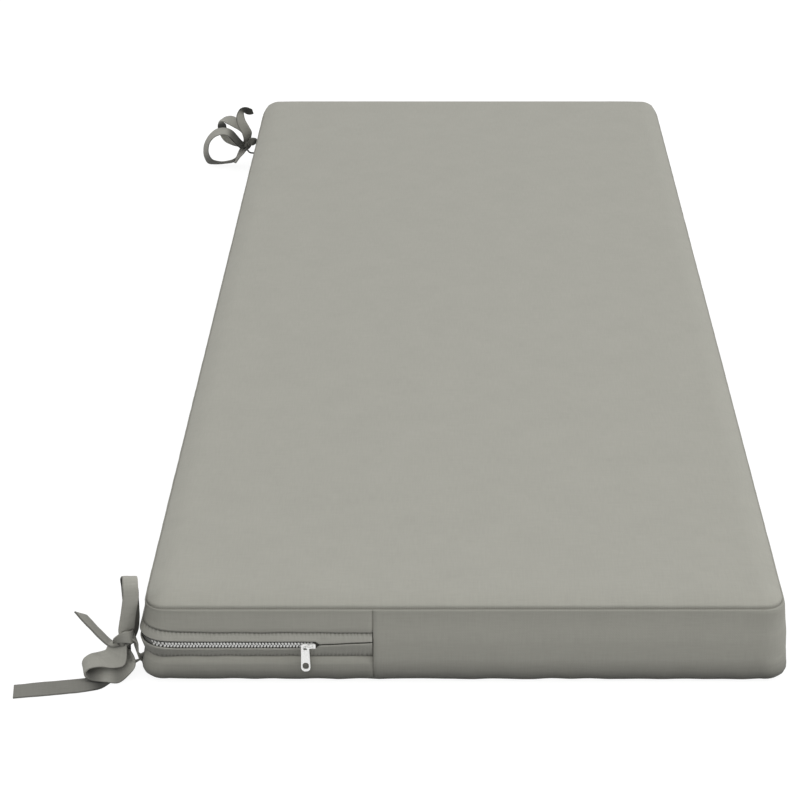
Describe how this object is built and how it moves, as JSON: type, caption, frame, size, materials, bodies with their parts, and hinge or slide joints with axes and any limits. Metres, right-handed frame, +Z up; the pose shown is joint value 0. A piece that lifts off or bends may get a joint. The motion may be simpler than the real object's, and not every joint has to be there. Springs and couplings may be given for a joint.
{
  "type": "bench cushion",
  "caption": "Long flat bench cushion with a softly crowned top, sewn edges, a zip round one end and a tied tape near each end of one long side.",
  "frame": {"origin": "middle of the flat underside, on the surface the cushion lies on", "axes": "+Z up through the crown, +Y along the cushion's length away from the end in front, +X across its width; the ties and the zip's long run are on the -X side"},
  "size_m": [0.6052, 1.2277, 0.095],
  "materials": {
    "cushion_cloth": "plain woven light grey cloth, matt",
    "zip_strip_cloth": "the cushion's cloth, folded, matt",
    "zip_teeth": "pale grey moulded coil",
    "zip_metal": "white lacquered metal, satin",
    "tie_cloth": "the cushion's cloth, folded and edge stitched, matt"
  },
  "bodies": {
    "root": {"cushion": "cushion_cloth", "zip_strip_upper": "zip_strip_cloth", "zip_strip_lower": "zip_strip_cloth", "zip_chain": "zip_teeth", "zip_slider": "zip_metal", "zip_pull": "zip_metal", "tie_near": "tie_cloth", "tie_far": "tie_cloth"}
  },
  "joints": []
}
